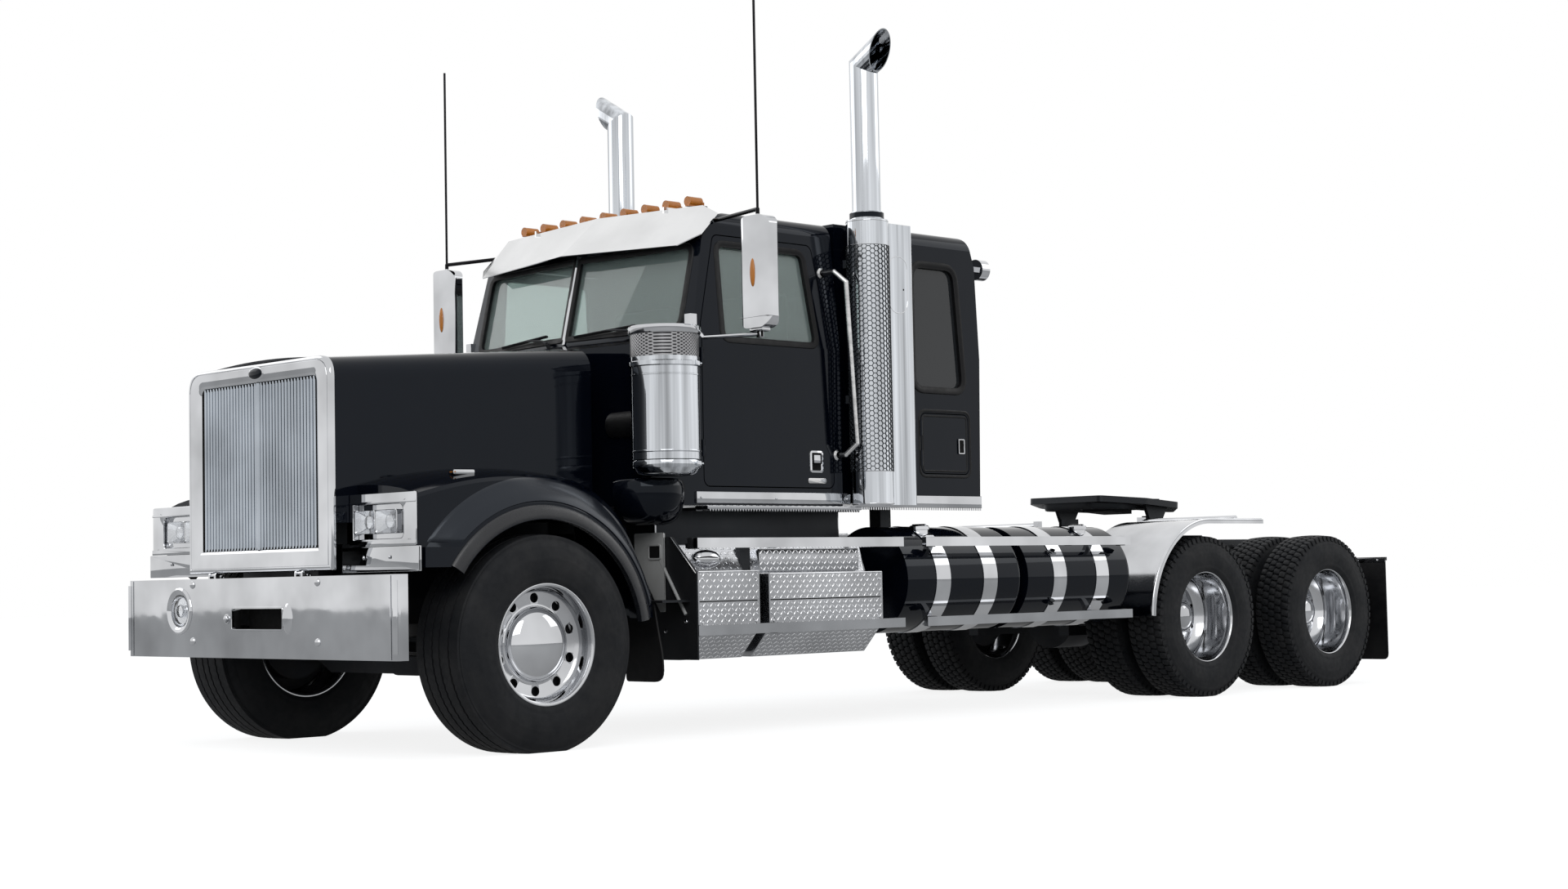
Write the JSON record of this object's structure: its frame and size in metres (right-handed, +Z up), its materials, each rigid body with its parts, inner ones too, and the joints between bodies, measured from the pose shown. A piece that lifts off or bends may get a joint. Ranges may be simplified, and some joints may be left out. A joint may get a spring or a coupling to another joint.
{
  "type": "semi truck tractor unit",
  "caption": "Long-nosed road tractor with a sleeper, twin stacks, tilting hood, two driven axles on twin wheels and a fifth wheel for hauling semi-trailers",
  "frame": {"origin": "on the ground under the middle of the truck's length and width", "axes": "+X is the driver's side (the truck's left), +Y runs from the bumper to the rear so forward is -Y, +Z is up"},
  "size_m": [2.926, 8.4, 3.925],
  "materials": {
    "black_paint": "gloss clear-coated black paint",
    "chrome": "mirror chrome plate on pressed steel",
    "polished_aluminium": "hand-polished aluminium",
    "stainless": "bright polished stainless steel",
    "chassis_black": "satin black chassis paint",
    "tread_plate": "bright aluminium diamond tread plate",
    "cast_metal": "painted cast iron",
    "tyre": "black tyre rubber",
    "rubber": "black moulded rubber",
    "glass": "clear laminated glass with a green-grey tint",
    "dark_glass": "dark tinted glass",
    "amber": "amber lamp lens",
    "trim": "grained dark cab plastic",
    "seat": "dark grey seat leather",
    "lamp": "chrome lamp body"
  },
  "bodies": {
    "chassis": {"frame_rails": "chassis_black", "front_bumper": "chrome", "front_axle": "cast_metal", "suspension": "chassis_black", "engine": "cast_metal", "radiator": "chassis_black", "drive_axles": "cast_metal", "cab_shell": "black_paint", "windshield": "glass", "sleeper_shell": "black_paint", "sleeper_windows": "dark_glass", "visor": "stainless", "roof_lights": "amber", "mirrors": "chrome", "stacks": "chrome", "air_cleaners": "stainless", "seats": "seat", "dashboard": "trim", "step_boxes": "tread_plate", "fuel_tanks": "black_paint", "tank_straps": "stainless", "step_rails": "stainless", "cab_steps": "stainless", "grab_bars": "stainless", "rear_fenders": "stainless", "mud_flaps": "rubber", "flap_hangers": "stainless", "work_lamps": "lamp", "deck_plate": "tread_plate", "fifth_wheel_base": "chassis_black"},
    "hood": {"hood_shell": "black_paint", "fender_left": "black_paint", "fender_right": "black_paint", "grille_surround": "chrome", "grille_bars": "chrome", "headlamps": "lamp"},
    "door_left": {"door_left": "black_paint", "door_glass_left": "glass"},
    "door_right": {"door_right": "black_paint", "door_glass_right": "glass"},
    "locker_door_left": {"locker_door_left": "black_paint"},
    "locker_door_right": {"locker_door_right": "black_paint"},
    "knuckle_left": {"knuckle_left": "cast_metal"},
    "knuckle_right": {"knuckle_right": "cast_metal"},
    "tie_rod": {"tie_rod": "cast_metal"},
    "fifth_wheel": {"fifth_wheel_plate": "chassis_black"},
    "wheel_front_left": {"rims_front_left": "polished_aluminium", "tyres_front_left": "tyre"},
    "wheel_front_right": {"rims_front_right": "polished_aluminium", "tyres_front_right": "tyre"},
    "wheel_first_left": {"rims_first_left": "polished_aluminium", "tyres_first_left": "tyre"},
    "wheel_first_right": {"rims_first_right": "polished_aluminium", "tyres_first_right": "tyre"},
    "wheel_second_left": {"rims_second_left": "polished_aluminium", "tyres_second_left": "tyre"},
    "wheel_second_right": {"rims_second_right": "polished_aluminium", "tyres_second_right": "tyre"}
  },
  "joints": [
    {"name": "hood_tilt", "type": "hinge", "parent": "chassis", "child": "hood", "pos_m": [0, -4.18, 0.884], "axis": [1, 0, 0], "range_deg": [0, 70]},
    {"name": "door_left_swing", "type": "hinge", "parent": "chassis", "child": "door_left", "pos_m": [0.98, -2.072, 1.982], "axis": [0, 0, -1], "range_deg": [0, 60]},
    {"name": "door_right_swing", "type": "hinge", "parent": "chassis", "child": "door_right", "pos_m": [-0.98, -2.072, 1.982], "axis": [0, 0, 1], "range_deg": [0, 60]},
    {"name": "locker_left_swing", "type": "hinge", "parent": "chassis", "child": "locker_door_left", "pos_m": [1.01, -0.399, 1.5725], "axis": [0, 0, -1], "range_deg": [0, 90]},
    {"name": "locker_right_swing", "type": "hinge", "parent": "chassis", "child": "locker_door_right", "pos_m": [-1.01, -0.399, 1.5725], "axis": [0, 0, 1], "range_deg": [0, 90]},
    {"name": "steer_left", "type": "hinge", "parent": "chassis", "child": "knuckle_left", "pos_m": [0.9, -3.324, 0.516], "axis": [0, 0, 1], "range_deg": [-34, 34]},
    {"name": "steer_right", "type": "hinge", "parent": "chassis", "child": "knuckle_right", "pos_m": [-0.9, -3.324, 0.516], "axis": [0, 0, 1], "range_deg": [-34, 34]},
    {"name": "tie_rod_swing", "type": "hinge", "parent": "knuckle_left", "child": "tie_rod", "pos_m": [0.9, -3.164, 0.461], "axis": [0, 0, 1], "range_deg": [-34, 34]},
    {"name": "wheel_front_left_spin", "type": "hinge", "parent": "knuckle_left", "child": "wheel_front_left", "pos_m": [1.04, -3.324, 0.516], "axis": [1, 0, 0], "continuous": true},
    {"name": "wheel_front_right_spin", "type": "hinge", "parent": "knuckle_right", "child": "wheel_front_right", "pos_m": [-1.04, -3.324, 0.516], "axis": [1, 0, 0], "continuous": true},
    {"name": "wheel_first_left_spin", "type": "hinge", "parent": "chassis", "child": "wheel_first_left", "pos_m": [0.889, 2.101, 0.511], "axis": [1, 0, 0], "continuous": true},
    {"name": "wheel_first_right_spin", "type": "hinge", "parent": "chassis", "child": "wheel_first_right", "pos_m": [-0.889, 2.101, 0.511], "axis": [1, 0, 0], "continuous": true},
    {"name": "wheel_second_left_spin", "type": "hinge", "parent": "chassis", "child": "wheel_second_left", "pos_m": [0.889, 3.511, 0.511], "axis": [1, 0, 0], "continuous": true},
    {"name": "wheel_second_right_spin", "type": "hinge", "parent": "chassis", "child": "wheel_second_right", "pos_m": [-0.889, 3.511, 0.511], "axis": [1, 0, 0], "continuous": true},
    {"name": "fifth_wheel_tilt", "type": "hinge", "parent": "chassis", "child": "fifth_wheel", "pos_m": [0, 2.636, 1.148], "axis": [1, 0, 0], "range_deg": [0, 15]}
  ],
  "couplings": [
    {"joint": "steer_right", "follows": "steer_left", "ratio": 1},
    {"joint": "tie_rod_swing", "follows": "steer_left", "ratio": -1}
  ]
}
